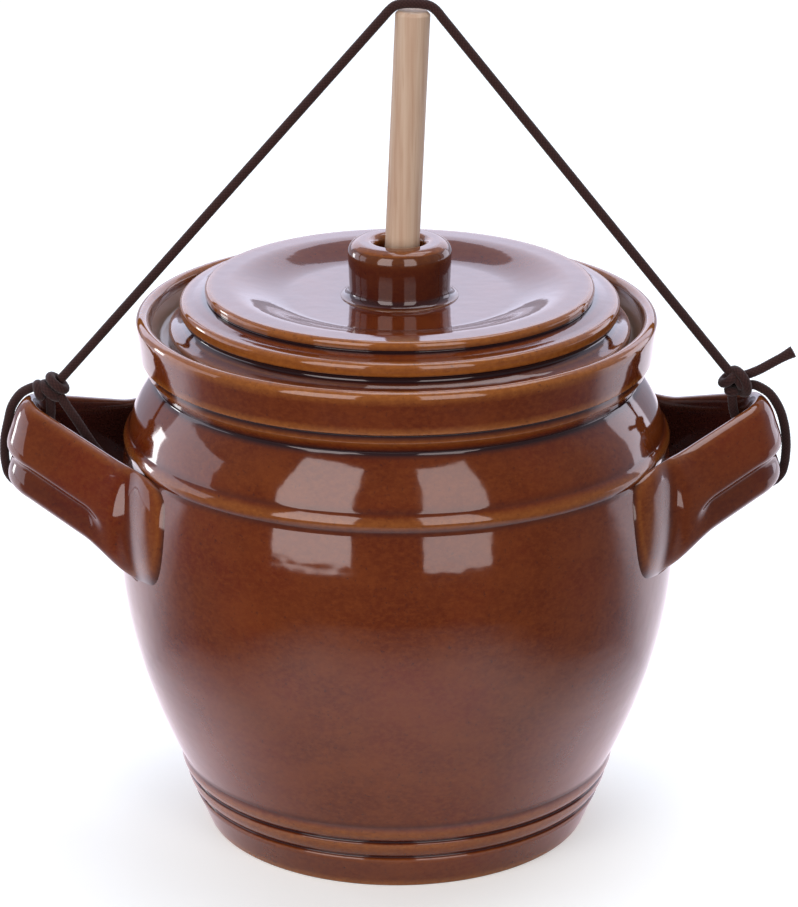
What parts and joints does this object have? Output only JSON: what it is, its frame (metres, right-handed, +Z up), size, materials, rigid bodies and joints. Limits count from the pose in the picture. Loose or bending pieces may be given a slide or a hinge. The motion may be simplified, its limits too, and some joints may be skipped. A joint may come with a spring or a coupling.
{
  "type": "fermentation jar",
  "caption": "Brown glazed stoneware fermentation jar with strap handles, stepped lid with collar, wooden press rod and disc, and a cord over the rod.",
  "frame": {"origin": "centre of the foot, on the surface that the jar stands on", "axes": "+Z up along the pot's axis, X along the two handles, the side seen in the picture faces -Y"},
  "size_m": [0.3285, 0.23, 0.3494],
  "materials": {
    "glaze": "glossy brown glaze, golden brown where it thins on edges",
    "wood": "plain turned beech, unfinished",
    "cord": "braided elastic, matt"
  },
  "bodies": {
    "jar": {"pot_body": "glaze", "left_handle": "glaze", "right_handle": "glaze", "cord_span": "cord", "left_cord_leg": "cord", "right_cord_leg": "cord", "left_cord_loop": "cord", "right_cord_loop": "cord", "left_cord_knot": "cord", "right_cord_knot": "cord", "left_cord_tail": "cord", "right_cord_tail": "cord"},
    "lid": {"lid": "glaze", "lid_collar": "glaze"},
    "press": {"push_rod": "wood", "press_disc": "wood"}
  },
  "joints": [
    {"name": "lid_lift", "type": "slide", "parent": "jar", "child": "lid", "axis": [0, 0, 1], "range_m": [0, 0.015]},
    {"name": "press_slide", "type": "slide", "parent": "jar", "child": "press", "axis": [0.0436, 0, 0.999], "range_m": [-0.045, 0], "deforming": ["cord_span"]}
  ]
}
